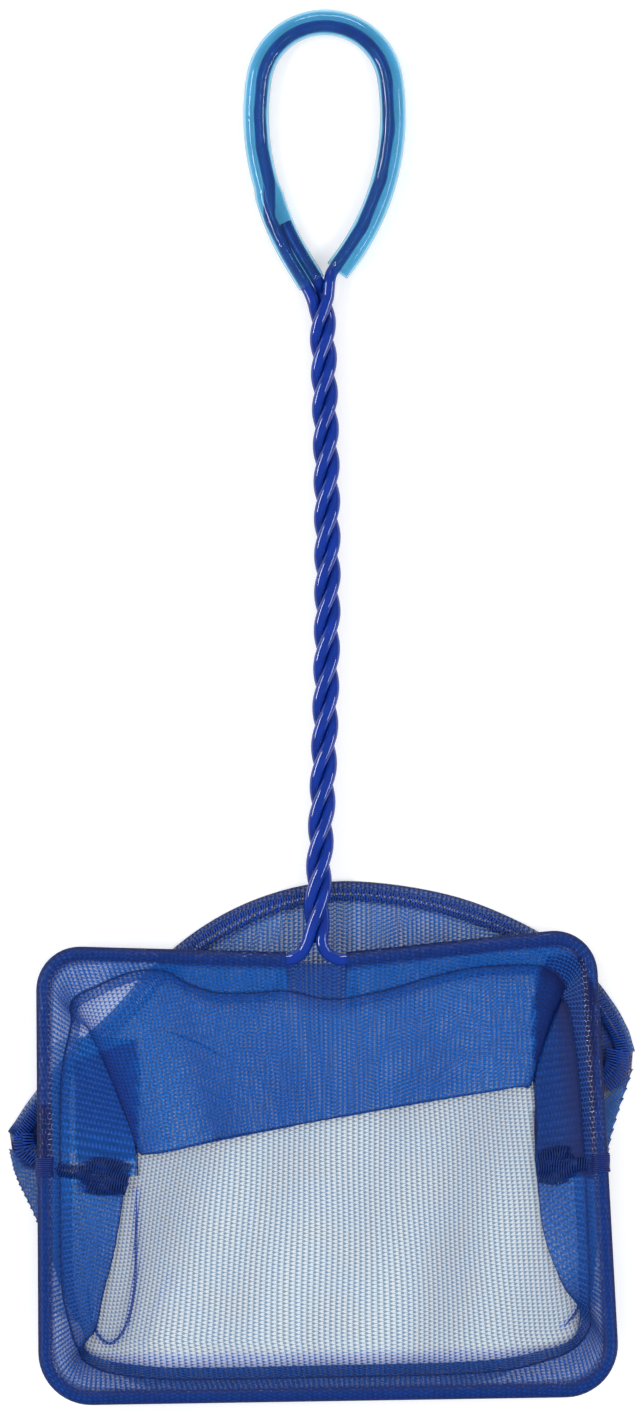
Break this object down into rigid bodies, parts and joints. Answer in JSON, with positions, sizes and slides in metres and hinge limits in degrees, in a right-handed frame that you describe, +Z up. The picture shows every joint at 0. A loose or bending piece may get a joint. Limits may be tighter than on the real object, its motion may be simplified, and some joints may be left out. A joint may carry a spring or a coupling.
{
  "type": "aquarium fish net",
  "caption": "Flat fish net: a rounded rectangular wire hoop with a shallow mesh bag, a twisted coated-wire shaft and a sleeved hanging loop.",
  "frame": {"origin": "centre of the bounding box's base, on the table under the middle of the net", "axes": "+X across the hoop to the right, +Y along the shaft from the hoop to the hanging loop, +Z up from the table"},
  "size_m": [0.1664, 0.3682, 0.0132],
  "materials": {
    "steel": "drawn",
    "blue_vinyl": "glossy dip coating",
    "clear_vinyl": "clear soft tube",
    "mesh": "knitted nylon mesh",
    "hem": "mesh turned over the wire",
    "seam": "overlock thread",
    "thread": "lock stitch"
  },
  "bodies": {
    "root": {"wire_core": "steel", "wire_coating": "blue_vinyl", "grip_sleeve": "clear_vinyl", "lower_hem": "hem", "upper_hem_left": "hem", "upper_hem_right": "hem", "lower_panel": "mesh", "upper_panel": "mesh", "lower_hem_thread": "thread", "upper_hem_thread": "thread", "bag_seam": "seam", "left_side_seam": "seam", "right_side_seam": "seam", "left_bartack": "thread", "right_bartack": "thread"}
  },
  "joints": []
}
